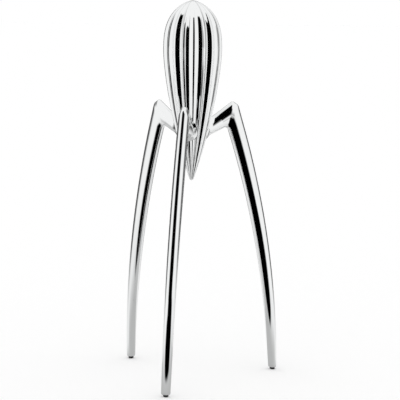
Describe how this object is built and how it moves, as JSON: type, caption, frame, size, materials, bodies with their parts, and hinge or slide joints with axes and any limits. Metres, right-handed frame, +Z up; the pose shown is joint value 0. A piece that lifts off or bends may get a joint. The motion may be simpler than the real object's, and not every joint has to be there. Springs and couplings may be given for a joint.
{
  "type": "citrus press juicer",
  "caption": "Polished metal citrus press: a fluted teardrop head on splayed, knee-bent tapering legs with small soft foot tips, standing over a glass.",
  "frame": {"origin": "on the axis of the head, on the plane that the foot tips stand on, where the glass is centred", "axes": "+Z up along the head's axis, the front leg points to -Y, the right leg 30 degrees from +X towards +Y"},
  "size_m": [0.1234, 0.1121, 0.29],
  "materials": {
    "cast_aluminium": "cast aluminium, mirror polished",
    "dowel_steel": "ground steel dowel",
    "black_polyamide": "moulded black polyamide"
  },
  "bodies": {
    "root": {"squeezer_head": "cast_aluminium", "front_leg": "cast_aluminium", "right_leg": "cast_aluminium", "left_leg": "cast_aluminium", "front_leg_dowel": "dowel_steel", "right_leg_dowel": "dowel_steel", "left_leg_dowel": "dowel_steel", "front_foot_tip": "black_polyamide", "right_foot_tip": "black_polyamide", "left_foot_tip": "black_polyamide"}
  },
  "joints": []
}
